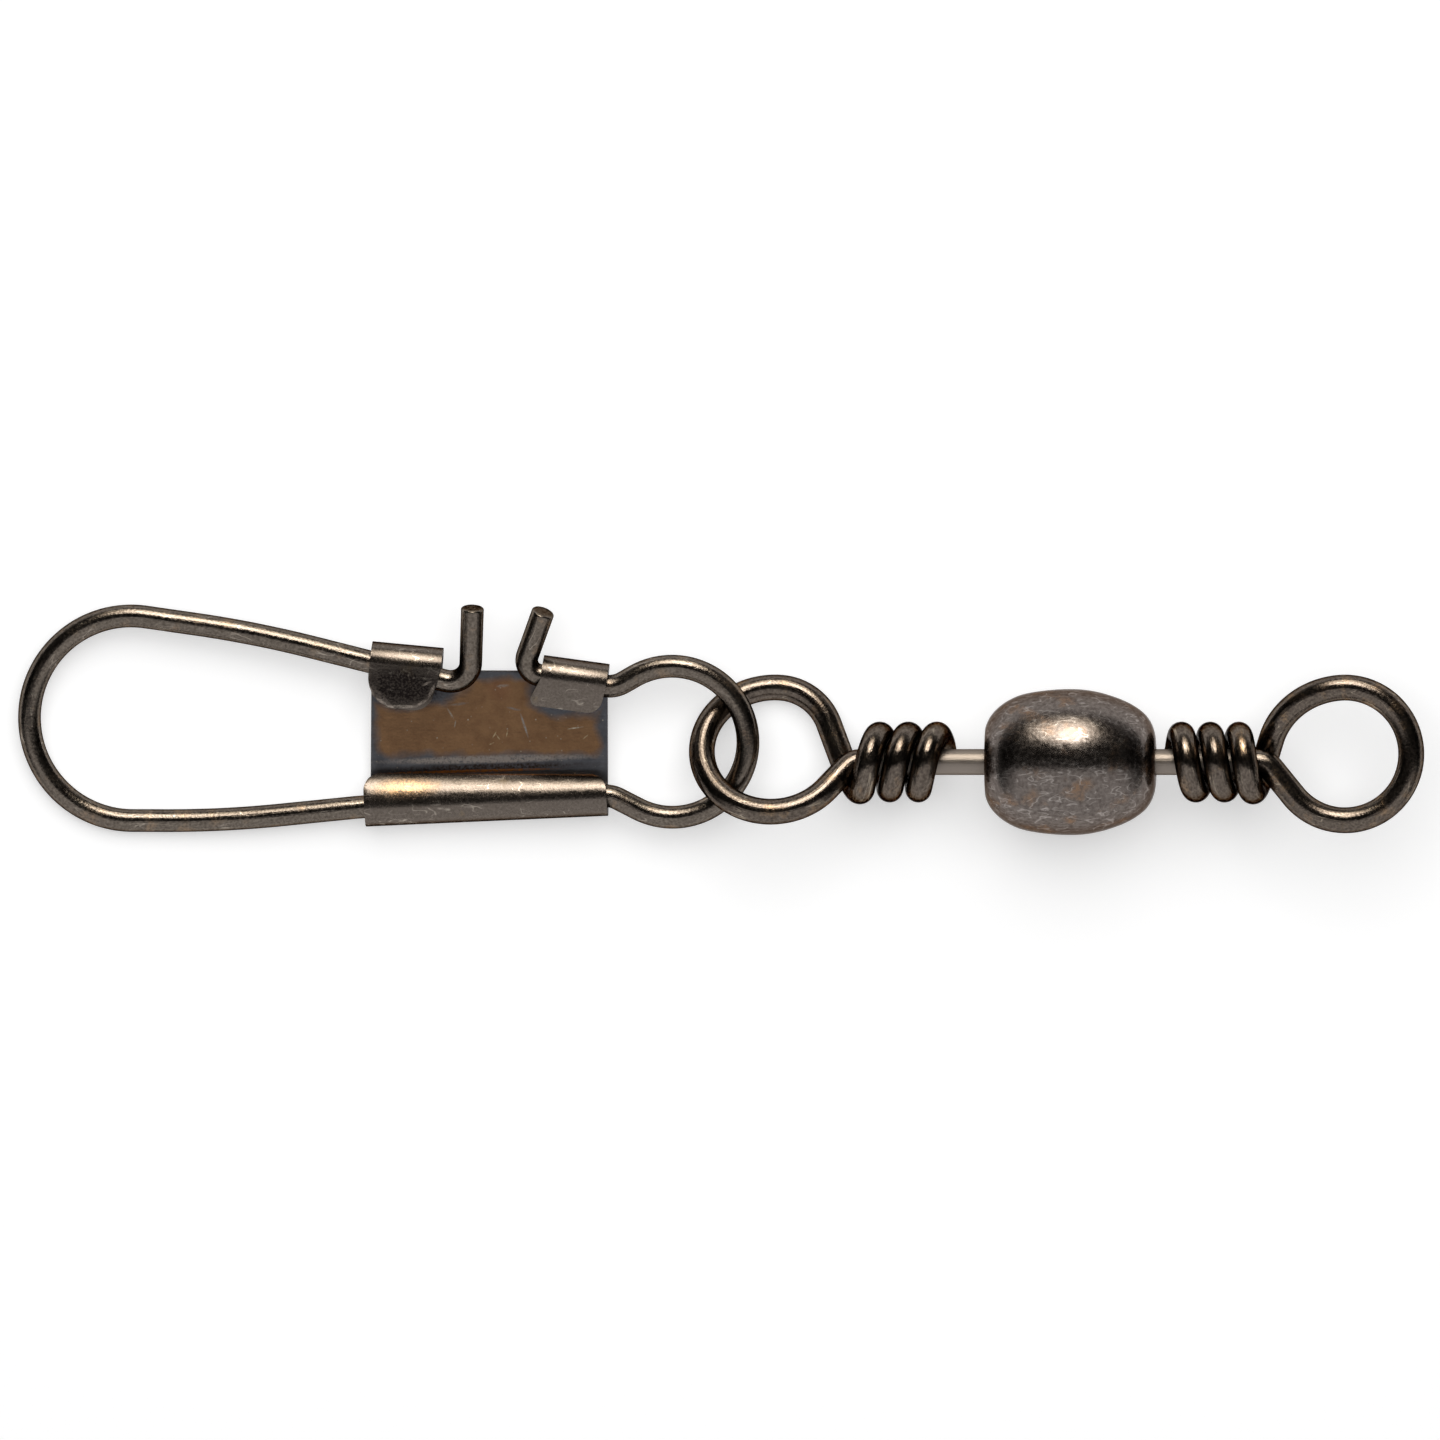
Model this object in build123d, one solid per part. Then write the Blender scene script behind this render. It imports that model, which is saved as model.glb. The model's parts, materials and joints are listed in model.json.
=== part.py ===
from build123d import *
from math import cos, radians, sin, tan
import os

# Fishing snap swivel, lying as it rests. All sizes in mm and degrees.
# +X runs along the chain from the snap to the line eye, +Z is up.

# Snap wire
snap_wire_diameter = 0.82
big_loop_radius = 3.65
small_loop_radius = 2.70
loop_spacing = 19.29            # between the two loop centres, along the snap
small_loop_drop = 0.78          # small loop centre below the big one's
loop_mouth_upper = 60           # where the small loop's arc ends, above its mouth
loop_mouth_lower = 63
upper_arm_start_slope = 8
upper_arm_slope = 14
upper_arm_bend_at = 4.38        # from the big loop's centre
lower_arm_height = 3.67         # below the big loop's centre
lower_arm_bend_at = 3.25
lower_arm_slope = 6
front_hook_at = 12.08           # upturned end beside the left tongue
front_hook_height = 2.90
front_hook_lean = 2.5
front_hook_forward = 15
rear_hook_at = 13.91            # upturned end beside the right tongue
rear_hook_level = 1.68
rear_hook_height = 2.42
rear_hook_lean = 20
rear_hook_forward = 10
rear_arm_turn = 1.4             # the rear hook's arm leaves its tongue this much steeper
front_hook_bend = 0.75
rear_hook_bend = 0.56
mouth_bend_radius = 1.00
arm_bend_radius = 40.0

# Clasp plate
sheet_thickness = 0.28
sheet_to_wire_gap = 0.03
plate_left = 8.50
plate_right = 16.97
plate_top = 1.69
curl_left = 8.33
curl_slope = 2.77
curl_bow_left = 1.60            # radius of the curl's front, which closes towards the right
curl_bow_right = 0.85
curl_turn_left = 48             # the bow turns this far back from the front to its free edge
curl_turn_right = 68
curl_corner_radius = 0.55
left_tongue_at = 8.54
left_tongue_level = 2.06
left_tongue_length = 2.54
left_tongue_slope = -5.2
left_tongue_flap = 1.54
right_tongue_at = 14.63
right_tongue_level = 1.59
right_tongue_length = 2.35
right_tongue_slope = -7.6
right_tongue_flap = 0.98
right_tongue_closing = 8

# Swivel
eye_wire_diameter = 0.93
coil_turns = 3
coil_pitch = 1.02
coil_gap = 0.05                 # between the coil and the shaft inside it
neck_bend_radius = 0.60
first_turn_swell = 0.08         # the coil's first turn rides over the neck's bend
lower_arm_rise = 51             # slope of the ring's lower arm up to the shaft
ring_bends = 3
ring_top = 95                   # where the ring turns down into its upper arm
coil_bends_per_turn = 6
line_ring_radius = 2.36
line_ring_reach = 3.01          # from the coil's start to the ring's centre
line_ring_lift = 0.29           # ring centre above the shaft, in its own plane
line_crossing = 0.10            # the upper arm crosses the shaft this far out from the coil
line_upper_arm_drop = 72        # slope of the ring's upper arm down to the shaft
line_coil_lean = 0              # how far the turns lean out of square, each way
snap_ring_radius = 2.53
snap_ring_reach = 3.07
snap_ring_lift = 0.51
snap_crossing = 0.40
snap_upper_arm_drop = 68
snap_coil_lean = 0.10
shaft_reach = 6.75              # from the barrel's centre to the coil's start
end_play = 0.82                 # how far the snap side shaft is drawn out
snap_eye_turn = 29.1            # the snap side ring is turned about the shaft
barrel_length = 6.05
barrel_radius = 2.60
barrel_wall = 0.38
# Each end's outline, as distance back from the end face and radius, crown to face
closed_in_end = [(1.875, 2.45), (1.105, 2.18), (0.485, 1.80), (0.125, 1.32), (0, 0.74)]
turned_end = [(1.525, 2.46), (0.695, 2.13), (0.235, 1.72), (0.045, 1.40), (0, 1.28)]
shaft_clearance = 0.04
head_clearance = 0.03
head_radius = 0.98
head_length = 0.55
head_edge = 0.12

# Where the two halves lie
snap_roll = 5.0
snap_pitch = 2.38
link_at = (0.996, -0.783, 1.605)     # middle of the small loop's far end
barrel_at = (12.484, -1.495, 2.610)
swivel_pitch = 3.55


def meet(first_point, first_angle, second_point, second_angle):
    """Crossing point of two lines in the XY plane."""
    ax, ay = cos(radians(first_angle)), sin(radians(first_angle))
    bx, by = cos(radians(second_angle)), sin(radians(second_angle))
    dx = second_point[0] - first_point[0]
    dy = second_point[1] - first_point[1]
    along = (dx * by - dy * bx) / (ax * by - ay * bx)
    return (first_point[0] + ax * along, first_point[1] + ay * along)


def half_turn_at(before, corner, after):
    """Half the angle that a path turns through at a corner, in radians."""
    return radians(180 - (before - corner).get_angle(after - corner)) / 2


def bent_wire(corners):
    """A path of straight lengths and bends, from (x, y, z, bend radius) corners.

    With no radius the bend is as wide as the sides beside it allow.
    """
    points = [Vector(x, y, z) for x, y, z, radius in corners]
    radii = [radius for x, y, z, radius in corners]
    edges = []
    here = points[0]
    for index in range(1, len(points) - 1):
        before = (points[index - 1] - points[index]).normalized()
        after = (points[index + 1] - points[index]).normalized()
        half_turn = half_turn_at(points[index - 1], points[index], points[index + 1])
        radius = radii[index]
        if radius is None:
            side = min(
                (points[index - 1] - points[index]).length,
                (points[index + 1] - points[index]).length,
            )
            radius = side / 2 / tan(half_turn)
        setback = radius * tan(half_turn)
        bend_start = points[index] + before * setback
        bend_end = points[index] + after * setback
        inward = (before + after).normalized()
        bend_middle = points[index] + inward * (radius / cos(half_turn) - radius)
        if (bend_start - here).length > 0.001:
            edges.append(Line(here, bend_start))
        edges.append(ThreePointArc(bend_start, bend_middle, bend_end))
        here = bend_end
    edges.append(Line(here, points[-1]))
    return Wire([edge.edge() for edge in edges])


def round_wire(path, diameter):
    section = Plane(origin=path @ 0, z_dir=path % 0) * Circle(diameter / 2)
    return sweep(section, path=path)


def polar(centre, radius, angle):
    return (centre[0] + radius * cos(radians(angle)), centre[1] + radius * sin(radians(angle)))


# The snap wire, from the front hook round the big loop, along the curl,
# round the small loop and back to the rear hook
big_corner = (-big_loop_radius, big_loop_radius * tan(radians((90 + upper_arm_start_slope) / 2)))
upper_bend = (
    upper_arm_bend_at,
    big_corner[1] - (upper_arm_bend_at - big_corner[0]) * tan(radians(upper_arm_start_slope)),
)
front_hook = (
    front_hook_at,
    upper_bend[1] - (front_hook_at - upper_bend[0]) * tan(radians(upper_arm_slope)),
)
curl_start = (
    curl_left,
    -lower_arm_height + (curl_left - lower_arm_bend_at) * tan(radians(lower_arm_slope)),
)
loop_centre = (loop_spacing, -small_loop_drop)
mouth_low = polar(loop_centre, small_loop_radius, 180 + loop_mouth_lower)
mouth_high = polar(loop_centre, small_loop_radius, 180 - loop_mouth_upper)
rear_hook = (rear_hook_at, rear_hook_level)
rear_arm_slope = right_tongue_slope - rear_arm_turn
mouth_low_corner = meet(curl_start, curl_slope, mouth_low, 270 + loop_mouth_lower)
mouth_high_corner = meet(rear_hook, rear_arm_slope, mouth_high, 270 - loop_mouth_upper)

loop_turn = (360 - loop_mouth_lower - loop_mouth_upper) / 3
loop_corners = [
    polar(
        loop_centre,
        small_loop_radius / cos(radians(loop_turn / 2)),
        180 + loop_mouth_lower + loop_turn * (step + 0.5),
    )
    for step in range(3)
]


def hook_end(root, height, lean, forward):
    return (
        root[0] + height * sin(radians(lean)),
        root[1] + height * cos(radians(lean)),
        height * tan(radians(forward)),
    )


snap_path = bent_wire(
    [(*hook_end(front_hook, front_hook_height, front_hook_lean, front_hook_forward), 0)]
    + [(*front_hook, 0, front_hook_bend)]
    + [(*upper_bend, 0, arm_bend_radius)]
    + [(*big_corner, 0, big_loop_radius)]
    + [(-big_loop_radius, -lower_arm_height, 0, lower_arm_height)]
    + [(lower_arm_bend_at, -lower_arm_height, 0, arm_bend_radius)]
    + [(*curl_start, 0, arm_bend_radius / 2)]
    + [(*mouth_low_corner, 0, mouth_bend_radius)]
    + [(*corner, 0, small_loop_radius) for corner in loop_corners]
    + [(*mouth_high_corner, 0, mouth_bend_radius)]
    + [(*rear_hook, 0, rear_hook_bend)]
    + [(*hook_end(rear_hook, rear_hook_height, rear_hook_lean, rear_hook_forward), 0)]
)
snap_wire = round_wire(snap_path, snap_wire_diameter)

# The clasp plate: a flat back, two tongues folded over the top and a curl below
fold_inside = snap_wire_diameter / 2 + sheet_to_wire_gap
sheet_back = -fold_inside - sheet_thickness


def folded_tab(length, flap_outline, closing):
    """A fold over a wire on the X axis, from the back over the top to a front flap."""
    band = Plane.XZ * Pos(length / 2, sheet_back + sheet_thickness / 2) * Rectangle(
        length, sheet_thickness
    )
    fold = revolve(band, Axis.X, 180 + closing)
    flap = extrude(Pos(0, 0, sheet_back) * flap_outline, sheet_thickness)
    return fold + Rot(180 + closing, 0, 0) * flap


def flap_face(length, height, left_shift, right_shift, left_radius, right_radius):
    """The flap laid flat: two root corners, two free corners with their own radii."""
    face = make_face(
        Polyline(
            (0, 0), (length, 0), (length + right_shift, height), (left_shift, height), close=True
        )
    )
    free_corners = face.vertices().group_by(Axis.Y)[-1].sort_by(Axis.X)
    face = fillet(free_corners[0], left_radius)
    free_corners = face.vertices().group_by(Axis.Y)[-1].sort_by(Axis.X)
    return fillet(free_corners[-1], right_radius)


def curl_section(x, bow, turn):
    """Section of the curl: half round a wire on the X axis, then bowed back to its free edge."""
    outside = fold_inside + sheet_thickness
    inner_bow = bow - sheet_thickness

    def on_bow(radius, angle):
        tilt = radians(angle)
        return (radius * sin(tilt), outside - bow + radius * cos(tilt))

    edges = [
        ThreePointArc((0, -outside), (-outside, 0), (0, outside)),
        ThreePointArc((0, outside), on_bow(bow, turn / 2), on_bow(bow, turn)),
        Line(on_bow(bow, turn), on_bow(inner_bow, turn)),
        ThreePointArc(on_bow(inner_bow, turn), on_bow(inner_bow, turn / 2), (0, fold_inside)),
        ThreePointArc((0, fold_inside), (-fold_inside, 0), (0, -fold_inside)),
        Line((0, -fold_inside), (0, -outside)),
    ]
    return Plane.YZ.offset(x) * make_face([edge.edge() for edge in edges])


def curled_edge(length):
    """The curl along a wire on the X axis, its free edge trimmed to round corners."""
    outside = fold_inside + sheet_thickness
    rise_left = curl_bow_left * sin(radians(curl_turn_left))
    rise_right = curl_bow_right * sin(radians(curl_turn_right))
    roll = loft(
        [curl_section(0, curl_bow_left, curl_turn_left)]
        + [curl_section(length, curl_bow_right, curl_turn_right)],
        ruled=True,
    )
    kept = make_face(
        Polyline(
            (0, -outside), (length, -outside), (length, rise_right), (0, rise_left), close=True
        )
    )
    kept = fillet(kept.vertices().sort_by(Axis.Y)[-2:], curl_corner_radius)
    sheet = Pos(length / 2, 0) * Rectangle(2 * length, 4 * (outside + rise_left))
    return roll - extrude(Pos(0, 0, -fold_inside) * (sheet - kept), outside + fold_inside)


def on_slope(x, y, slope):
    return Pos(x, y) * Rot(0, 0, slope)


def slope_end(x, y, length, slope):
    return (x + length * cos(radians(slope)), y + length * sin(radians(slope)))


def curl_level(x):
    return curl_start[1] + (x - curl_start[0]) * tan(radians(curl_slope))


left_tongue = on_slope(left_tongue_at, left_tongue_level, left_tongue_slope) * folded_tab(
    left_tongue_length,
    flap_face(left_tongue_length, left_tongue_flap, -0.05, -0.30, 1.10, 0.70),
    0,
)
right_tongue = on_slope(right_tongue_at, right_tongue_level, right_tongue_slope) * folded_tab(
    right_tongue_length,
    flap_face(right_tongue_length, right_tongue_flap, -0.38, -0.12, 0.25, 0.55),
    right_tongue_closing,
)
curl_length = (plate_right - curl_left) / cos(radians(curl_slope))
curl = on_slope(curl_left, curl_start[1], curl_slope) * curled_edge(curl_length)
left_tongue_end = slope_end(
    left_tongue_at, left_tongue_level, left_tongue_length, left_tongue_slope
)
right_tongue_end = slope_end(
    right_tongue_at, right_tongue_level, right_tongue_length, right_tongue_slope
)
back_outline = make_face(
    Polyline(
        (plate_left, curl_level(plate_left)),
        (plate_right, curl_level(plate_right)),
        right_tongue_end,
        (right_tongue_at, right_tongue_level),
        (right_tongue_at, plate_top),
        (left_tongue_end[0], plate_top),
        left_tongue_end,
        (left_tongue_at, left_tongue_level),
        close=True,
    )
)
back_plate = extrude(Pos(0, 0, sheet_back) * back_outline, sheet_thickness)
clasp_plate = back_plate + left_tongue + right_tongue + curl

# The barrel, a hollow shell about X with a hole in each end
shaft_radius = eye_wire_diameter / 2
bore_radius = shaft_radius + shaft_clearance
half_barrel = barrel_length / 2
half_cavity = half_barrel - barrel_wall
pocket_radius = head_radius + head_clearance


def end_outline(crown, arc_points, corners):
    """Outline from the crown to one end: arcs that run on from each other, then straight."""
    edges = []
    here = Vector(0, crown)
    direction = Vector(1, 0)
    for point in arc_points:
        arc = TangentArc(here, point, tangent=direction)
        edges.append(arc)
        here = arc @ 1
        direction = arc % 1
    return edges + Polyline(here, *corners).edges()


def turned_solid(left_outline, right_outline):
    """Solid about X from two half outlines, the left one drawn as if it were the right."""
    left = [mirror(edge, Plane.YZ) for edge in left_outline]
    core = Line(left[-1] @ 1, right_outline[-1] @ 1)
    return revolve(make_face(left + [core] + right_outline), Axis.X)


def outer_end(end):
    arc_points = [(half_barrel - back, radius) for back, radius in end]
    return end_outline(barrel_radius, arc_points, [(half_barrel, bore_radius)])


def cavity_end(end):
    """The outer form less the wall, down to the pocket that the shaft's head turns in."""
    arc_points = [
        (half_cavity - back, radius - barrel_wall)
        for back, radius in end
        if radius - barrel_wall > pocket_radius
    ]
    corners = [(half_cavity, pocket_radius), (half_cavity, bore_radius / 2)]
    return end_outline(barrel_radius - barrel_wall, arc_points, corners)


barrel = turned_solid(outer_end(turned_end), outer_end(closed_in_end))
barrel -= turned_solid(cavity_end(turned_end), cavity_end(closed_in_end))
barrel -= Rot(0, 90, 0) * Cylinder(bore_radius, barrel_length)


def eye_piece(ring_radius, ring_reach, ring_lift, crossing, upper_arm_drop, coil_lean, drawn_out):
    """One eye on the +X side: headed shaft, neck, ring and the coil back round the shaft."""
    coil_start = shaft_reach + drawn_out
    ring_centre = (coil_start + ring_reach, ring_lift)
    ring_start = 270 - lower_arm_rise
    touch = polar(ring_centre, ring_radius, ring_start)
    neck = meet(touch, 180 - lower_arm_rise, (0, 0), 0)[0]
    ring_turn = (360 + ring_top - ring_start) / ring_bends
    ring_corners = [
        polar(
            ring_centre,
            ring_radius / cos(radians(ring_turn / 2)),
            ring_start + ring_turn * (step + 0.5),
        )
        for step in range(ring_bends)
    ]
    top = polar(ring_centre, ring_radius, ring_top)
    crossing_at = (coil_start + crossing, 0)
    shoulder = Vector(*meet(top, 90 + ring_top, crossing_at, upper_arm_drop))
    coil_radius = eye_wire_diameter + coil_gap
    coil_step = 360 / coil_bends_per_turn

    def coil_point(angle, radius):
        return (
            coil_start - coil_pitch * angle / 360 + coil_lean * sin(radians(angle)),
            -radius * sin(radians(angle)),
            -radius * cos(radians(angle)),
        )

    outer_radius = coil_radius / cos(radians(coil_step / 2))
    coil_corners = [
        coil_point(coil_step * step, outer_radius)
        for step in range(1, coil_turns * coil_bends_per_turn)
    ]
    coil_corners[0] = coil_point(coil_step, outer_radius + first_turn_swell)
    coil_corners[1] = coil_point(2 * coil_step, outer_radius + first_turn_swell)
    behind_shaft = Vector(*crossing_at, -outer_radius)
    coil_corners.insert(0, tuple(behind_shaft))
    shoulder_turn = half_turn_at(Vector(*top), shoulder, behind_shaft)
    shoulder_radius = (Vector(*top) - shoulder).length / tan(shoulder_turn)
    head_face = half_cavity - head_clearance - (end_play - drawn_out)
    path = bent_wire(
        [(head_face - head_length / 2, 0, 0, 0), (neck, 0, 0, neck_bend_radius)]
        + [(*corner, 0, ring_radius) for corner in ring_corners]
        + [(*shoulder, shoulder_radius)]
        + [(*corner, None) for corner in coil_corners]
        + [(*coil_point(360 * coil_turns - 20, coil_radius), 0)]
    )
    head = Cylinder(head_radius, head_length)
    head = Pos(head_face - head_length / 2, 0, 0) * Rot(0, 90, 0) * fillet(head.edges(), head_edge)
    return round_wire(path, eye_wire_diameter) + head


line_eye = eye_piece(
    line_ring_radius,
    line_ring_reach,
    line_ring_lift,
    line_crossing,
    line_upper_arm_drop,
    line_coil_lean,
    0,
)
snap_side_eye = eye_piece(
    snap_ring_radius,
    snap_ring_reach,
    snap_ring_lift,
    snap_crossing,
    snap_upper_arm_drop,
    snap_coil_lean,
    end_play,
)
snap_side_eye = mirror(snap_side_eye, Plane.YZ)
snap_side_eye = Rot(-snap_eye_turn, 0, 0) * snap_side_eye

# Lay the two halves down in their shared frame
link_local = (loop_spacing + small_loop_radius, -small_loop_drop)
lay_snap = Pos(*link_at) * Rot(snap_roll, -snap_pitch, 0) * Pos(-link_local[0], -link_local[1])
lay_swivel = Pos(*barrel_at) * Rot(0, -swivel_pitch, 0)

pieces = {
    "snap_wire": lay_snap * snap_wire,
    "clasp_plate": lay_snap * clasp_plate,
    "snap_side_eye": lay_swivel * snap_side_eye,
    "swivel_barrel": lay_swivel * barrel,
    "line_eye": lay_swivel * line_eye,
}
boxes = [piece.bounding_box() for piece in pieces.values()]
middle_x = (min(box.min.X for box in boxes) + max(box.max.X for box in boxes)) / 2
middle_y = (min(box.min.Y for box in boxes) + max(box.max.Y for box in boxes)) / 2
to_origin = Pos(-middle_x, -middle_y, -min(box.min.Z for box in boxes))
print("link pivot", to_origin * Pos(*link_at))
print("barrel centre", to_origin * Pos(*barrel_at))

os.makedirs("parts", exist_ok=True)
for name, piece in pieces.items():
    export_step(to_origin * piece, f"parts/{name}.step")
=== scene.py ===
import heapq
import json
import math
from functools import partial

import bmesh
import bpy
import numpy as np
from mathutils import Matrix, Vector, noise


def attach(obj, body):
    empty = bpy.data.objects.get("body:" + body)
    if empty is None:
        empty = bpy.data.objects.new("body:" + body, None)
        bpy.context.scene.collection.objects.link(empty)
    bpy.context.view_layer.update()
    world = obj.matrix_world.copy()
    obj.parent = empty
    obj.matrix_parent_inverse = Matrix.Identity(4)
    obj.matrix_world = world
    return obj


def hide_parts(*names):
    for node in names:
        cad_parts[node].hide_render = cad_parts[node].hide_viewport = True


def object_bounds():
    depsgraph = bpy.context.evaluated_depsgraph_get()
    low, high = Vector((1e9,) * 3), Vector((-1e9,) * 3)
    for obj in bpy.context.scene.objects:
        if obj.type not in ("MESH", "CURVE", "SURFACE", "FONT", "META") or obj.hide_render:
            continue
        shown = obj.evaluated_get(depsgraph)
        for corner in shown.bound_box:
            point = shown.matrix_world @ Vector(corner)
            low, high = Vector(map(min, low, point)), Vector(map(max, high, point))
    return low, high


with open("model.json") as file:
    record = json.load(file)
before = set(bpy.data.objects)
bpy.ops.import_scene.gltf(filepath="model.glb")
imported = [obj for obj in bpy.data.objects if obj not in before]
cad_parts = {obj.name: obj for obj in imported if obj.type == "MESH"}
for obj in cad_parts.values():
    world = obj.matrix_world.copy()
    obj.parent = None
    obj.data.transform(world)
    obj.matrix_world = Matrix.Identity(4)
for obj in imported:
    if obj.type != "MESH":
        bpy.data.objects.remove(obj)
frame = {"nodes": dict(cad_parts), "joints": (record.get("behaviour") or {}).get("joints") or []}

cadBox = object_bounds()
mm = 0.001

# Fishing snap swivel in black nickel plating, lying on a pale studio table.
# Each wire is drawn again along the centre line that its CAD node gives, fine enough for a
# polished metal, with its own drawing lines and sheared ends. The barrel is turned again from
# its node's outline, and the clasp keeps its node's shape with the sheet's edges rounded.


# Nodes and colours

cloudSpan = (0.25, 0.75)    # nearly all values of a noise texture lie in here


def addNode(tree, kind, inputs=None, **settings):
    # an input takes a value, or the socket that feeds it
    node = tree.nodes.new(kind)
    for name, value in settings.items():
        setattr(node, name, value)
    for key, value in (inputs or {}).items():
        if isinstance(value, bpy.types.NodeSocket):
            tree.links.new(value, node.inputs[key])
        else:
            node.inputs[key].default_value = value
    return node.outputs


def hexColour(code):
    channels = [int(code[i:i + 2], 16) / 255 for i in (1, 3, 5)]
    linear = [c / 12.92 if c <= 0.04045 else ((c + 0.055) / 1.055) ** 2.4 for c in channels]
    return (*linear, 1.0)


def newMaterial(name):
    material = bpy.data.materials.new(name)
    material.use_nodes = True
    material.node_tree.nodes.clear()
    return material, partial(addNode, material.node_tree)


def grainOf(add, place, size, detail=2.0, turn=(0, 0, 0)):
    # cloudy grain from 0 to 1; size in mm is one number, or one for each axis, and in a wire
    # the axes are (across, across, along)
    sizes = size if isinstance(size, tuple) else (size, size, size)
    turned = add(
        "ShaderNodeMapping",
        {"Vector": place, "Rotation": turn, "Scale": tuple(1 / part for part in sizes)},
    )[0]
    cloud = add("ShaderNodeTexNoise", {"Vector": turned, "Scale": 1.0, "Detail": detail})["Fac"]
    return add(
        "ShaderNodeMapRange", {"Value": cloud, "From Min": cloudSpan[0], "From Max": cloudSpan[1]}
    )[0]


# Black nickel plating

nickelLook = {              # what all four platings share
    "scratchTurns": ((0.3, 0.2, 0.25), (-0.9, 0.7, 0.1)), "scratchStrength": 0.5,
    "scratchBreak": 0.45, "scratchFade": 0.12, "wornFade": 0.3, "sheenFrom": 0.4, "sheenTo": 1.6,
    "rubbed": "#8a8179", "rubbedRoughness": 0.44,       # a shaft that has turned in its bore
}

# sizes in mm; "glancing" is what the smoky film leaves of a reflection at a glancing angle
platings = {
    "springWire": {         # drawn spring steel, bright drawing lines under a thin warm plating
        "plating": "#7f766d", "dark": "#4f4740", "worn": "#8b7764", "scratch": "#c0b5a8",
        "wornFrom": 0.62, "mottle": 0.60, "grain": 0.085, "drawing": (0.055, 0.055, 1.6),
        "smooth": 0.15, "rough": 0.27, "grainBump": 0.0034, "drawingBump": 0.0024,
        "scratchSize": (0.35, 0.35, 2.2), "scratchWidth": 0.022, "scratchCover": 0.56,
        "glancing": "#5e5854",
    },
    "swivelWire": {         # softer brass wire, rubbed through a little more
        "plating": "#786e65", "dark": "#463e38", "worn": "#8e755b", "scratch": "#bdb09e",
        "wornFrom": 0.60, "mottle": 0.60, "grain": 0.085, "drawing": (0.060, 0.060, 1.4),
        "smooth": 0.14, "rough": 0.25, "grainBump": 0.0030, "drawingBump": 0.0034,
        "scratchSize": (0.35, 0.35, 2.0), "scratchWidth": 0.022, "scratchCover": 0.56,
        "glancing": "#6e6762",
    },
    "barrelShell": {        # turned brass, tumbled: mottled grey over copper brown
        "plating": "#807873", "dark": "#564e4a", "worn": "#86684f", "scratch": "#b8b0ab",
        "wornFrom": 0.60, "mottle": 0.95, "grain": 0.13, "drawing": (0.30, 0.30, 0.30),
        "smooth": 0.18, "rough": 0.29, "grainBump": 0.0020, "drawingBump": 0.0024,
        "scratchSize": (0.30, 0.7, 0.9), "scratchWidth": 0.045, "scratchCover": 0.42,
        "glancing": "#aea59f",
    },
    "claspSheet": {         # rolled steel strip: plating, and a heat tint on its flat face
        "plating": "#766d66", "dark": "#5a524b", "worn": "#86724f", "scratch": "#bcb2a6",
        "wornFrom": 0.80, "mottle": 1.20, "grain": 0.080, "drawing": (1.6, 0.07, 0.07),
        "smooth": 0.20, "rough": 0.30, "grainBump": 0.0018, "drawingBump": 0.0006,
        "scratchSize": (1.25, 0.42, 0.42), "scratchWidth": 0.024, "scratchCover": 0.55,
        "glancing": "#5e5854",
    },
}


def scratchesOf(add, place, size, turn, width, cover):
    # thin lines where a long drawn-out grain passes its middle, broken off by a coarser one
    field = grainOf(add, place, size, detail=1.0, turn=turn)
    offMiddle = add("ShaderNodeMath", {0: field, 1: 0.5}, operation="SUBTRACT")[0]
    offMiddle = add("ShaderNodeMath", {0: offMiddle}, operation="ABSOLUTE")[0]
    line = add(
        "ShaderNodeMapRange",
        {"Value": offMiddle, "From Min": 0.0, "From Max": width, "To Min": 1.0, "To Max": 0.0},
    )[0]
    where = grainOf(add, place, max(size) * nickelLook["scratchBreak"], detail=1.0)
    where = add(
        "ShaderNodeMapRange",
        {"Value": where, "From Min": cover, "From Max": cover + nickelLook["scratchFade"]},
    )[0]
    return add("ShaderNodeMath", {0: line, 1: where}, operation="MULTIPLY")[0]


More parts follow.
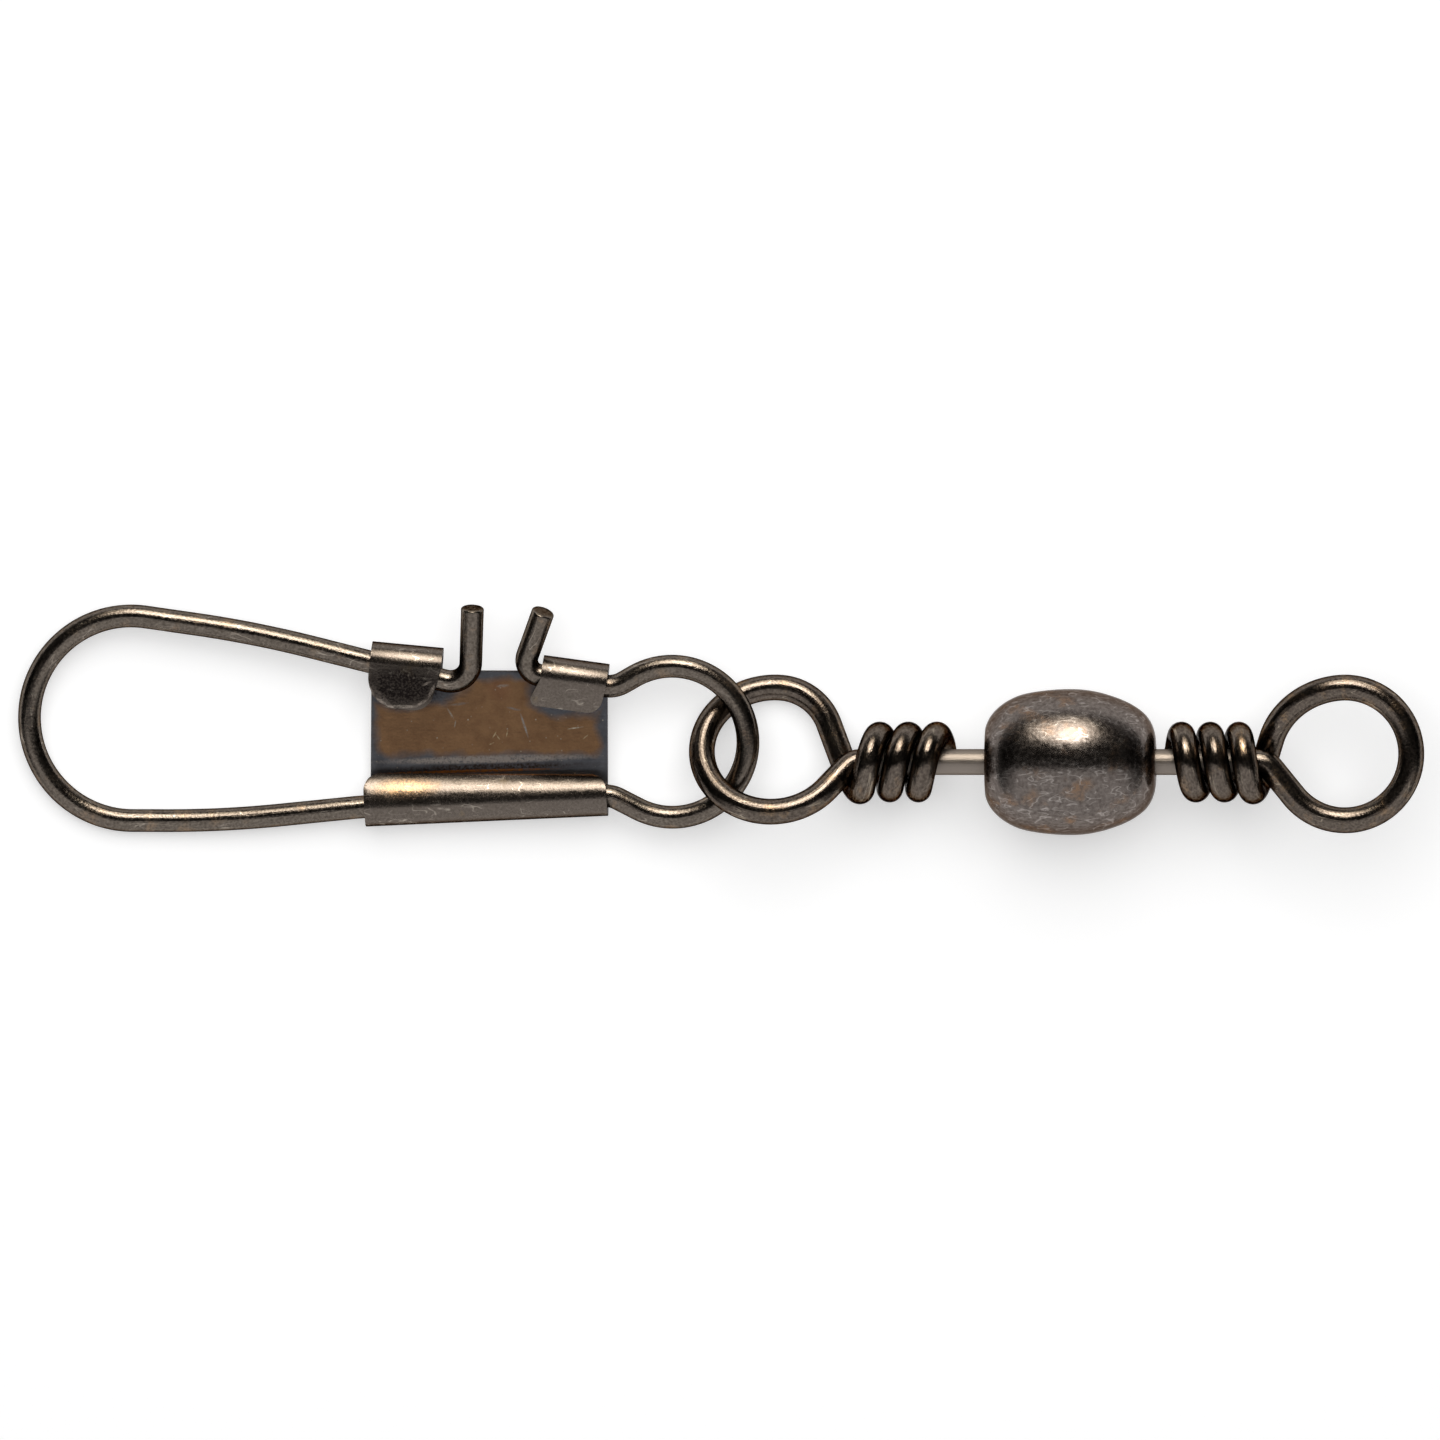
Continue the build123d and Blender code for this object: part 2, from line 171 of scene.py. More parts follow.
def platingOf(add, place, recipe):
    # the colour, roughness and surface of black nickel
    mottle = grainOf(add, place, recipe["mottle"], detail=4.0)
    grain = grainOf(add, place, recipe["grain"], detail=3.0)
    drawing = grainOf(add, place, recipe["drawing"])
    worn = add(
        "ShaderNodeMapRange",
        {"Value": mottle, "From Min": recipe["wornFrom"],
         "From Max": recipe["wornFrom"] + nickelLook["wornFade"]},
    )[0]
    worn = add("ShaderNodeMath", {0: worn, 1: grain}, operation="MULTIPLY")[0]
    colour = add(
        "ShaderNodeMix",
        {0: grain, 6: hexColour(recipe["dark"]), 7: hexColour(recipe["plating"])}, data_type="RGBA",
    )[2]
    colour = add(
        "ShaderNodeMix", {0: worn, 6: colour, 7: hexColour(recipe["worn"])}, data_type="RGBA"
    )[2]
    for turn in nickelLook["scratchTurns"]:
        scratch = scratchesOf(
            add, place, recipe["scratchSize"], turn, recipe["scratchWidth"], recipe["scratchCover"]
        )
        scratch = add(
            "ShaderNodeMath", {0: scratch, 1: nickelLook["scratchStrength"]}, operation="MULTIPLY"
        )[0]
        colour = add(
            "ShaderNodeMix",
            {0: scratch, 6: colour, 7: hexColour(recipe["scratch"])}, data_type="RGBA",
        )[2]
    sheen = add("ShaderNodeMath", {0: mottle, 1: grain}, operation="ADD")[0]
    roughness = add(
        "ShaderNodeMapRange",
        {"Value": sheen, "From Min": nickelLook["sheenFrom"], "From Max": nickelLook["sheenTo"],
         "To Min": recipe["smooth"], "To Max": recipe["rough"]},
    )[0]
    surface = add(
        "ShaderNodeBump", {"Strength": 1.0, "Distance": recipe["grainBump"] * mm, "Height": grain}
    )[0]
    surface = add(
        "ShaderNodeBump",
        {"Strength": 1.0, "Distance": recipe["drawingBump"] * mm, "Height": drawing,
         "Normal": surface},
    )[0]
    return colour, roughness, surface


def blackNickel(name, recipe):
    # black nickel: a dark smoky mirror, warm where the copper under it shows through
    material, add = newMaterial(name)
    place = add("ShaderNodeAttribute", attribute_name="benchMm")["Vector"]
    colour, roughness, surface = platingOf(add, place, recipe)
    rubbed = add("ShaderNodeAttribute", attribute_name="rubbed")["Fac"]
    colour = add(
        "ShaderNodeMix",
        {0: rubbed, 6: colour, 7: hexColour(nickelLook["rubbed"])}, data_type="RGBA",
    )[2]
    roughness = add("ShaderNodeMix", {0: rubbed, 2: roughness, 3: nickelLook["rubbedRoughness"]})[0]
    shader = add(
        "ShaderNodeBsdfPrincipled",
        {"Metallic": 1.0, "Base Color": colour, "Roughness": roughness,
         "Specular Tint": hexColour(recipe["glancing"]), "Normal": surface},
    )[0]
    add("ShaderNodeOutputMaterial", {"Surface": shader})
    return material


heatTint = {                # mm in the part's frame, seen from above
    "gold": "#a27d5b", "goldDark": "#826248", "russet": "#8a5c49",
    "tideAndShade": "#74757b", "tideDark": "#55565a", "pale": "#d2c7b4",
    "middle": (-8.28, 0.08), "half": (3.97, 1.33), "corner": 0.35, "edge": 0.32,
    "waver": 0.15, "waverSize": 0.8, "blotchSize": 0.45, "blotchGrain": 0.3,
    "russetAt": (-7.85, 1.15, 0.3), "russetReach": 0.85, "russetCore": 0.5, "russetStrength": 0.65,
    # painted shade: an ellipse round each tongue where the face turns tide blue-grey
    "tongues": ((-11.32, 1.42, 2.45, 1.00), (-5.15, 1.10, 1.70, 1.02)),   # middle and half sizes
    "speckSpacing": 0.32, "speckSize": 0.11, "speckCore": 0.4, "speckStrength": 0.8,
    "markCore": 0.4, "markEdge": 1.05, "throughSheet": 1e6,     # a mark goes on at any height
    "roughness": 0.34,
    "marksAndPaintedLight": (      # painted shade, painted highlights, scratches and dings: middle, length, width, degrees, strength, colour
        # painted shade: the left tongue's face darkened to near black
        (-11.28, 1.18, 3.60, 1.80, -5, 1.7, "#2b2524"),
        # painted shade: a dark band on the plate, the curl's shade above its free edge
        (-8.30, -1.70, 8.60, 0.36, 1.5, 1.5, "#3a2f2a"),
        (-9.00, -1.84, 6.60, 0.12, 1.5, 2.0, "#b5763e"),
        (-11.20, -2.45, 2.60, 0.90, 3.0, 0.9, "#a8845c"),
        (-8.30, -1.42, 8.30, 0.32, 1.5, 2.0, "#a49a93"),
        # painted highlights: pale strokes round the left tongue's rounded rim, this mark and the
        # next six
        (-11.38, 0.46, 1.30, 0.15, 0, 1.6, "#a89d92"),
        (-12.12, 0.66, 0.45, 0.13, -33, 1.2, "#9c9086"),
        (-12.42, 1.00, 0.50, 0.12, -68, 1.1, "#9c9086"),
        (-10.62, 0.60, 0.50, 0.13, 30, 1.4, "#9c9086"),
        (-10.30, 0.98, 0.62, 0.13, 68, 1.4, "#9c9086"),
        (-10.45, 1.28, 0.42, 0.11, 25, 1.3, "#a79b90"),
        (-10.22, 1.08, 0.40, 0.10, 75, 1.3, "#a79b90"),
        (-6.98, -0.22, 1.00, 0.10, 108, 1.1, "#a9a8a6"),
        (-9.62, 0.22, 0.50, 0.08, 122, 1.1, "#b3aca0"),
        (-5.15, -0.30, 0.62, 0.06, 8, 1.6, "#d8ccb6"),
        (-8.05, -0.55, 0.30, 0.06, 60, 1.6, "#cbb591"),
        (-7.93, -0.62, 0.26, 0.06, 128, 1.6, "#cbb591"),
        (-8.15, -0.86, 0.22, 0.05, 25, 1.6, "#cbb591"),
        (-7.60, -0.50, 0.30, 0.05, 75, 1.4, "#cbb591"),
        (-9.45, -0.15, 0.30, 0.06, 80, 1.2, "#b3aca0"),
        (-4.80, -0.62, 0.28, 0.05, 40, 1.4, "#cbb591"),
        (-7.75, 1.20, 0.50, 0.12, 5, 1.0, "#a7a29c"),
        (-7.35, 0.38, 0.60, 0.10, -12, 1.0, "#8d8c8c"),
        (-9.30, 0.55, 0.70, 0.12, 8, 0.9, "#8d8c8c"),
    ),
}


def tintedSheet(name, recipe):
    # nickelled steel strip, its flat face tinted gold by heat, with a blue-grey tide mark; painted
    # shade round the tongues, and painted shade and highlights among its marks
    material, add = newMaterial(name)
    place = add("ShaderNodeAttribute", attribute_name="benchMm")["Vector"]
    flat = add("ShaderNodeAttribute", attribute_name="flatFace")["Fac"]
    colour, roughness, surface = platingOf(add, place, recipe)
    grain = grainOf(add, place, recipe["grain"], detail=3.0)
    cloud = grainOf(add, place, heatTint["waverSize"], detail=3.0)
    waver = add(
        "ShaderNodeMapRange",
        {"Value": cloud, "To Min": -heatTint["waver"], "To Max": heatTint["waver"]},
    )[0]
    axes = add("ShaderNodeSeparateXYZ", {0: place})
    beyond = []             # how far a place lies outside the gold field, along X and along Y
    for axis in (0, 1):
        off = add(
            "ShaderNodeMath", {0: axes[axis], 1: heatTint["middle"][axis]}, operation="SUBTRACT"
        )[0]
        off = add("ShaderNodeMath", {0: off}, operation="ABSOLUTE")[0]
        reach = heatTint["half"][axis] - heatTint["corner"]
        off = add("ShaderNodeMath", {0: off, 1: reach}, operation="SUBTRACT")[0]
        beyond.append(add("ShaderNodeMath", {0: off, 1: 0.0}, operation="MAXIMUM")[0])
    outside = add("ShaderNodeCombineXYZ", {0: beyond[0], 1: beyond[1]})[0]
    outside = add("ShaderNodeVectorMath", {0: outside}, operation="LENGTH")["Value"]
    outside = add("ShaderNodeMath", {0: outside, 1: heatTint["corner"]}, operation="SUBTRACT")[0]
    # painted shade round each tongue, added to the real tide mark at the field's edge
    for middleX, middleY, halfX, halfY in heatTint["tongues"]:
        shifted = add(
            "ShaderNodeMapping",
            {"Vector": place, "Location": (-middleX / halfX, -middleY / halfY, 0.0),
             "Scale": (1 / halfX, 1 / halfY, 0.0)},
        )[0]
        depth = add("ShaderNodeVectorMath", {0: shifted}, operation="LENGTH")["Value"]
        depth = add("ShaderNodeMath", {0: 1.0, 1: depth}, operation="SUBTRACT")[0]
        outside = add("ShaderNodeMath", {0: outside, 1: depth}, operation="MAXIMUM")[0]
    outside = add("ShaderNodeMath", {0: outside, 1: waver}, operation="ADD")[0]
    tideAndShade = add(
        "ShaderNodeMapRange",
        {"Value": outside, "From Min": -heatTint["edge"] / 2, "From Max": heatTint["edge"] / 2},
    )[0]
    blotch = grainOf(add, place, heatTint["blotchSize"], detail=3.0)
    blotch = add("ShaderNodeMix", {0: heatTint["blotchGrain"], 2: blotch, 3: grain})[0]
    gold = add(
        "ShaderNodeMix",
        {0: blotch, 6: hexColour(heatTint["goldDark"]), 7: hexColour(heatTint["gold"])},
        data_type="RGBA",
    )[2]
    fromRusset = add(
        "ShaderNodeVectorMath", {0: place, 1: heatTint["russetAt"]}, operation="DISTANCE"
    )["Value"]
    russet = add(
        "ShaderNodeMapRange",
        {"Value": fromRusset, "From Min": heatTint["russetReach"] * heatTint["russetCore"],
         "From Max": heatTint["russetReach"], "To Min": heatTint["russetStrength"], "To Max": 0.0},
    )[0]
    gold = add(
        "ShaderNodeMix", {0: russet, 6: gold, 7: hexColour(heatTint["russet"])}, data_type="RGBA"
    )[2]
    blue = add(
        "ShaderNodeMix",
        {0: blotch, 6: hexColour(heatTint["tideDark"]), 7: hexColour(heatTint["tideAndShade"])},
        data_type="RGBA",
    )[2]
    tint = add("ShaderNodeMix", {0: tideAndShade, 6: gold, 7: blue}, data_type="RGBA")[2]
    cells = add("ShaderNodeTexVoronoi", {"Vector": place, "Scale": 1 / heatTint["speckSpacing"]})
    speck = add(
        "ShaderNodeMapRange",
        {"Value": cells["Distance"], "From Min": heatTint["speckSize"] * heatTint["speckCore"],
         "From Max": heatTint["speckSize"], "To Min": heatTint["speckStrength"], "To Max": 0.0},
    )[0]
    speck = add("ShaderNodeMath", {0: speck, 1: cells["Color"]}, operation="MULTIPLY")[0]
    tint = add(
        "ShaderNodeMix", {0: speck, 6: tint, 7: hexColour(heatTint["pale"])}, data_type="RGBA"
    )[2]
    colour = add("ShaderNodeMix", {0: flat, 6: colour, 7: tint}, data_type="RGBA")[2]
    # scratches and dings, with painted shade and painted highlights, laid over every face
    for middleX, middleY, length, width, direction, strength, shade in heatTint["marksAndPaintedLight"]:
        mark = add(
            "ShaderNodeMapping",
            {"Vector": place, "Location": (middleX, middleY, 0.0),
             "Rotation": (0.0, 0.0, math.radians(direction)),
             "Scale": (length / 2, width / 2, heatTint["throughSheet"])},
            vector_type="TEXTURE",
        )[0]
        mark = add("ShaderNodeVectorMath", {0: mark}, operation="LENGTH")["Value"]
        mark = add(
            "ShaderNodeMapRange",
            {"Value": mark, "From Min": heatTint["markCore"], "From Max": heatTint["markEdge"],
             "To Min": strength, "To Max": 0.0},
        )[0]
        mark = add("ShaderNodeMath", {0: mark, 1: grain}, operation="MULTIPLY", use_clamp=True)[0]
        colour = add(
            "ShaderNodeMix", {0: mark, 6: colour, 7: hexColour(shade)}, data_type="RGBA"
        )[2]
    roughness = add("ShaderNodeMix", {0: flat, 2: roughness, 3: heatTint["roughness"]})[0]
    shader = add(
        "ShaderNodeBsdfPrincipled",
        {"Metallic": 1.0, "Base Color": colour, "Roughness": roughness,
         "Specular Tint": hexColour(recipe["glancing"]), "Normal": surface},
    )[0]
    add("ShaderNodeOutputMaterial", {"Surface": shader})
    return material


# Reading the frame

frameReading = {            # how finely the nodes' points are told apart
    "sameWithin": 0.0005 * mm, "ringGap": 0.02 * mm, "fewestPoints": 12, "radiusSlack": 0.03,
    "straightBelow": 0.001,                             # radians
}


def mergedMesh(node):
    mesh = bmesh.new()
    mesh.from_mesh(frame["nodes"][node].data)
    bmesh.ops.remove_doubles(mesh, verts=mesh.verts, dist=frameReading["sameWithin"])
    mesh.normal_update()
    return mesh


def jointLine(name):
    joint = next(j for j in frame["joints"] if j["name"] == name)
    return Vector(joint["pos_m"]), Vector(joint["axis"]).normalized()


def wireRings(node, radius, startNear):
    # the rings of points round a bent wire, in order from the end nearest a given point
    mesh = mergedMesh(node)
    mesh.verts.ensure_lookup_table()
    places = np.array([v.co[:] for v in mesh.verts])
    inside = places - radius * np.array([v.normal[:] for v in mesh.verts])
    reach = np.full(len(places), np.inf)
    start = int(np.linalg.norm(places - np.array(startNear), axis=1).argmin())
    reach[start] = 0
    waiting = [(0.0, start)]
    while waiting:
        distance, here = heapq.heappop(waiting)
        if distance > reach[here]:
            continue
        for edge in mesh.verts[here].link_edges:
            there = edge.other_vert(mesh.verts[here]).index
            total = distance + float(np.linalg.norm(inside[there] - inside[here]))
            if total < reach[there] - 1e-12:
                reach[there] = total
                heapq.heappush(waiting, (total, there))
    mesh.free()
    order = np.argsort(reach)
    breaks = np.where(np.diff(reach[order]) > frameReading["ringGap"])[0] + 1
    rings = []
    for group in np.split(order, breaks):
        points = places[group]
        centre = points.mean(axis=0)
        spread = np.linalg.norm(points - centre, axis=1)
        offRadius = abs(spread.mean() - radius) / radius
        if len(group) < frameReading["fewestPoints"] or offRadius > frameReading["radiusSlack"]:
            continue
        normal = np.linalg.svd(points - centre, full_matrices=False)[2][2]
        if rings and np.dot(centre - rings[-1][0], normal) < 0:
            normal = -normal
        rings.append((centre, normal))
    if np.dot(rings[1][0] - rings[0][0], rings[0][1]) < 0:
        rings[0] = (rings[0][0], -rings[0][1])
    return rings, places


def smoothLine(rings, step):
    # close points along the rings' centres, bent like an arc between one ring and the next
    line = []
    for (startAt, startAlong), (endAt, endAlong) in zip(rings, rings[1:]):
        chord = float(np.linalg.norm(endAt - startAt))
        turn = math.acos(min(1.0, float(np.dot(startAlong, endAlong))))
        pull = chord
        if turn > frameReading["straightBelow"]:
            pull = chord * 2 * math.tan(turn / 4) / math.sin(turn / 2)
        count = max(1, math.ceil(chord / step))
        for t in np.arange(count) / count:
            line.append(
                (2 * t**3 - 3 * t**2 + 1) * startAt + (t**3 - 2 * t**2 + t) * pull * startAlong
                + (3 * t**2 - 2 * t**3) * endAt + (t**3 - t**2) * pull * endAlong
            )
    line.append(rings[-1][0])
    return np.array(line)


# Building meshes

def finishPiece(name, points, faces, bench, material, body, slotName, nodes):
    mesh = bpy.data.meshes.new(name)
    mesh.from_pydata([tuple(point) for point in points], [], faces)
    mesh.validate()
    place = mesh.attributes.new("benchMm", "FLOAT_VECTOR", "POINT")
    place.data.foreach_set("vector", np.asarray(bench, dtype=np.float32).ravel())
    mesh.polygons.foreach_set("use_smooth", [True] * len(mesh.polygons))
    piece = bpy.data.objects.new(name, mesh)
    bpy.context.scene.collection.objects.link(piece)
    piece.data.materials.append(material)
    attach(piece, body)
    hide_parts(*nodes)
    print(name, "has", len(mesh.polygons), "faces")
    return piece


def turnedRings(sections, sides):
    # sections are (middle, first across, second across, radius, distance along), end to end
    points, bench, faces = [], [], []
    angles = np.arange(sides) * 2 * math.pi / sides
    for middle, firstAcross, secondAcross, radius, along in sections:
        for angle in angles:
            out = math.cos(angle) * firstAcross + math.sin(angle) * secondAcross
            points.append(middle + radius * out)
            bench.append((radius * math.cos(angle) / mm, radius * math.sin(angle) / mm, along / mm))
    for ring in range(len(sections) - 1):
        for side in range(sides):
            after = (side + 1) % sides
            low = ring * sides
            high = low + sides
            faces.append((low + side, low + after, high + after, high + side))
    return points, bench, faces


def closeEnd(points, bench, faces, ring, sides, isStart):
    middle = np.mean(points[ring * sides:(ring + 1) * sides], axis=0)
    points.append(middle)
    bench.append(tuple(np.mean(bench[ring * sides:(ring + 1) * sides], axis=0)))
    last = len(points) - 1
    for side in range(sides):
        pair = (ring * sides + side, ring * sides + (side + 1) % sides)
        faces.append((last, pair[1], pair[0]) if isStart else (last, pair[0], pair[1]))


wireLook = {
    "ringSpacing": 0.09 * mm, "sides": 44,
    "unevenness": 0.010, "unevenLength": 1.1 * mm,      # share of the radius, only ever inward
    "cutRounding": 0.07 * mm, "cutLean": 9.0, "faceRing": 0.5,      # faceRing in wire radii
    "rubbedFade": 0.30 * mm, "lineStep": 0.05 * mm, "tangentReach": 0.03 * mm,
    "firstAcross": (0.31, 0.87, 0.38), "benchShift": (7.3, 3.1, 11.7),    # times the wire's seed
}


def drawnWire(name, line, radius, startProfile, seed, rubbedOver=(0.0, 0.0), **fittings):
    # startProfile gives (distance, radius) steps at the start, such as an upset head;
    # rubbedOver is the stretch, in distances from the start, whose plating has rubbed off
    sides = wireLook["sides"]
    nearby = wireLook["tangentReach"]
    gaps = np.linalg.norm(np.diff(line, axis=0), axis=1)
    along = np.concatenate([[0.0], np.cumsum(gaps)])
    total = along[-1]
    rounding = wireLook["cutRounding"]
    corner = [(rounding * (1 - math.cos(a)), radius - rounding * (1 - math.sin(a)))
              for a in np.radians([0, 30, 60, 90])]
    opening = startProfile or [(0.0, radius * wireLook["faceRing"])] + corner
    closing = [(total - distance, size) for distance, size in reversed(corner)]
    closing.append((total, radius * wireLook["faceRing"]))
    spacing = wireLook["ringSpacing"]
    middle = np.arange(opening[-1][0] + spacing, closing[0][0], spacing)
    steps = opening + [(float(s), None) for s in middle] + closing
    sections = []
    across = None
    for distance, size in steps:
        centre = np.array([np.interp(distance, along, line[:, axis]) for axis in range(3)])
        ahead = np.array([np.interp(distance + nearby, along, line[:, axis]) for axis in range(3)])
        behind = np.array([np.interp(distance - nearby, along, line[:, axis]) for axis in range(3)])
        tangent = (ahead - behind) / np.linalg.norm(ahead - behind)
        if across is None:
            across = np.cross(tangent, wireLook["firstAcross"])
        across = across - np.dot(across, tangent) * tangent
        across = across / np.linalg.norm(across)
        if size is None:
            wave = noise.noise(Vector((distance / wireLook["unevenLength"], seed, 0.5)))
            size = radius * (1 - wireLook["unevenness"] * (0.5 + 0.5 * wave))
        sections.append((centre, across, np.cross(tangent, across), size, distance))
    points, bench, faces = turnedRings(sections, sides)
    leanTan = math.tan(math.radians(wireLook["cutLean"]))
    for ring, (_, firstAcross, secondAcross, _, distance) in enumerate(sections):
        toEnd = total - distance
        if toEnd < 2 * radius:              # shears lean the last cut face
            tangent = np.cross(firstAcross, secondAcross)
            for side in range(sides):
                lean = leanTan * (bench[ring * sides + side][0] * mm + radius)
                points[ring * sides + side] -= tangent * lean * (1 - toEnd / (2 * radius))
    closeEnd(points, bench, faces, 0, sides, isStart=True)
    closeEnd(points, bench, faces, len(steps) - 1, sides, isStart=False)
    alongAll = np.array(bench)[:, 2] * mm
    inRubbed = np.minimum(alongAll - rubbedOver[0], rubbedOver[1] - alongAll)
    bench = np.array(bench) + seed * np.array(wireLook["benchShift"])
    piece = finishPiece(name, points, faces, bench, **fittings)
    rubbed = piece.data.attributes.new("rubbed", "FLOAT", "POINT")
    share = np.clip(inRubbed / wireLook["rubbedFade"], 0, 1)
    rubbed.data.foreach_set("value", share.astype(np.float32))


eyeLook = {
    "wireRadius": 0.465 * mm, "rubbedFrom": 0.6 * mm, "rubbedTo": 5.2 * mm, "offAxis": 0.01 * mm,
    "headReach": 0.9 * mm, "headFrom": 1.4, "headEdge": 0.12 * mm,      # headFrom in wire radii
    "neckSwell": 1.15, "neckFade": 0.07 * mm,
}


def upsetHead(places, ring, wireRadius):
    # the head that keeps the shaft in the barrel: face, radius and length, from the node
    centre, forward = ring
    back = (places - centre) @ -forward
    away = np.linalg.norm(places - centre + back[:, None] * forward, axis=1)
    face = back.max()
    wide = (back > face - eyeLook["headReach"]) & (away > eyeLook["headFrom"] * wireRadius)
    radius = away[wide].max()
    length = face - back[wide].min()
    edge = eyeLook["headEdge"]
    profile = [(0.0, radius * wireLook["faceRing"]), (0.0, radius - edge)]
    for angle in np.radians([30, 60, 90]):
        profile.append((edge * (1 - math.cos(angle)), radius - edge * (1 - math.sin(angle))))
    for angle in np.radians([90, 60, 30]):
        profile.append(
            (length - edge * (1 - math.cos(angle)), radius - edge * (1 - math.sin(angle)))
        )
    profile.append((length, wireRadius * eyeLook["neckSwell"]))
    profile.append((length + eyeLook["neckFade"], wireRadius))
    return centre - forward * face, profile


snapLook = {"wireRadius": 0.41 * mm}


def snapWire(material):
    radius = snapLook["wireRadius"]
    mesh = mergedMesh("snap_wire")
    hookTop = max((v.co for v in mesh.verts), key=lambda place: place.y).copy()
    mesh.free()
    rings = wireRings("snap_wire", radius, hookTop)[0]
    line = smoothLine(rings, wireLook["lineStep"])
    drawnWire(
        "snap_wire_plated", line, radius, startProfile=None, seed=1.0, material=material,
        body="snap", slotName="snap_wire", nodes=["snap_wire"],
    )


def eyeWire(node, name, seed, material):
    # both eyes' shafts lie on the barrel's one axis
    radius = eyeLook["wireRadius"]
    middle, axis = (np.array(part) for part in jointLine("line_side_spin"))
    rings, places = wireRings(node, radius, middle)
    while np.linalg.norm(np.cross(rings[0][0] - middle, axis)) > eyeLook["offAxis"]:
        rings.pop(0)                    # rings of the head's own edges, off the shaft's line
    headFace, profile = upsetHead(places, rings[0], radius)
    line = smoothLine([(headFace, rings[0][1])] + rings, wireLook["lineStep"])
    drawnWire(
        name, line, radius, profile, seed, rubbedOver=(eyeLook["rubbedFrom"], eyeLook["rubbedTo"]),
        material=material, body=node, slotName="swivel_wire", nodes=[node],
    )


barrelLook = {
    "sides": 160, "step": 0.06 * mm, "lipRounding": 0.05 * mm,
    "outlineGrid": 0.02 * mm, "fewestPoints": 30,       # which of the node's points make a ring
    "clearOfBore": 1.2, "outwardFrom": 0.02, "inwardFrom": 0.3,
}


def swivelBarrel(material):
    # the shell's outline is read from the node's rings and turned again, finer
    middle, axis = jointLine("snap_side_spin")
    mesh = mergedMesh("swivel_barrel")
    rings = {}
    bore = np.inf
    for vertex in mesh.verts:
        along = (vertex.co - middle).dot(axis)
        outward = vertex.co - middle - along * axis
        radius = outward.length
        bore = min(bore, radius)
        slant = np.array((vertex.normal.dot(axis), vertex.normal.dot(outward.normalized())))
        key = (round(along / barrelLook["outlineGrid"]), round(radius / barrelLook["outlineGrid"]))
        rings.setdefault(key, []).append((along, radius, *slant))
    mesh.free()
    shell, hollow = [], []
    for ring in rings.values():
        along, radius, slantAlong, slantOut = np.mean(ring, axis=0)
        if len(ring) < barrelLook["fewestPoints"] or radius < barrelLook["clearOfBore"] * bore:
            continue
        run = np.array((slantOut, -slantAlong)) / math.hypot(slantAlong, slantOut)
        if slantOut > barrelLook["outwardFrom"]:
            shell.append((np.array((along, radius)), run))
        elif slantOut < -barrelLook["inwardFrom"]:
            hollow.append((along, radius))
    shell.sort(key=lambda ring: ring[0][0])
    outer = [tuple(place) for place in smoothLine(shell, barrelLook["step"])]
    hollow.sort(reverse=True)
    left, right = outer[0][0], outer[-1][0]
    lip = barrelLook["lipRounding"]
    profile = [(left, bore + lip)] + outer + [(right, bore + lip), (right - lip, bore)]
    profile += [(hollow[0][0], bore)] + hollow + [(hollow[-1][0], bore), (left + lip, bore)]
    profile.append(profile[0])
    across = Vector((0, 1, 0)) - axis * axis.y
    across = np.array(across.normalized())
    forward = np.array(axis)
    second = np.cross(forward, across)
    sections = [
        (np.array(middle) + distance * forward, across, second, radius, distance)
        for distance, radius in profile
    ]
    points, bench, faces = turnedRings(sections, barrelLook["sides"])
    finishPiece(
        "swivel_barrel_plated", points, faces, bench, material,
        "swivel_barrel", "barrel", ["swivel_barrel"],
    )


claspLook = {
    "edgeRounding": 0.09 * mm, "roundingSteps": 3,
    "sharpFrom": 40.0, "flatWithin": 1.5,               # degrees between faces
    "faceLean": 0.9995, "faceLevel": 0.02 * mm,         # what still belongs to the tinted face
}


def claspPlate(material):
    mesh = mergedMesh("clasp_plate")
    bmesh.ops.dissolve_limit(
        mesh, angle_limit=math.radians(claspLook["flatWithin"]), verts=mesh.verts, edges=mesh.edges
    )
    sharpFrom = math.radians(claspLook["sharpFrom"])
    sharp = [e for e in mesh.edges if len(e.link_faces) == 2 and e.calc_face_angle() > sharpFrom]
    bmesh.ops.bevel(
        mesh, geom=sharp, offset=claspLook["edgeRounding"], segments=claspLook["roundingSteps"],
        profile=0.5, affect="EDGES", clamp_overlap=True,
    )
    bmesh.ops.triangulate(mesh, faces=[f for f in mesh.faces if len(f.verts) > 4])
    # bevelling leaves its faces in another order each run, so both lists are sorted
    corners = [[tuple(v.co) for v in f.verts] for f in mesh.faces]
    mesh.free()
    points = sorted({place for face in corners for place in face})
    rank = {place: index for index, place in enumerate(points)}
    faces = sorted(([rank[place] for place in face] for face in corners), key=sorted)
    bench = np.array(points) / mm
    piece = finishPiece(
        "clasp_plate_plated", points, faces, bench, material, "snap", "clasp_plate", ["clasp_plate"]
    )
    weighted = piece.modifiers.new("flat faces", "WEIGHTED_NORMAL")
    weighted.keep_sharp = True
    # the largest face that looks up is the one that heat has tinted
    widest = max(piece.data.polygons, key=lambda face: face.area * (face.normal.z > 0.5))
    level = widest.center.dot(widest.normal)
    isFlat = [
        face.normal.dot(widest.normal) > claspLook["faceLean"]
        and abs(face.center.dot(widest.normal) - level) < claspLook["faceLevel"]
        for face in piece.data.polygons
    ]
    flat = piece.data.attributes.new("flatFace", "FLOAT", "FACE")
    flat.data.foreach_set("value", np.asarray(isFlat, dtype=np.float32))


# The table, the lamps and the camera

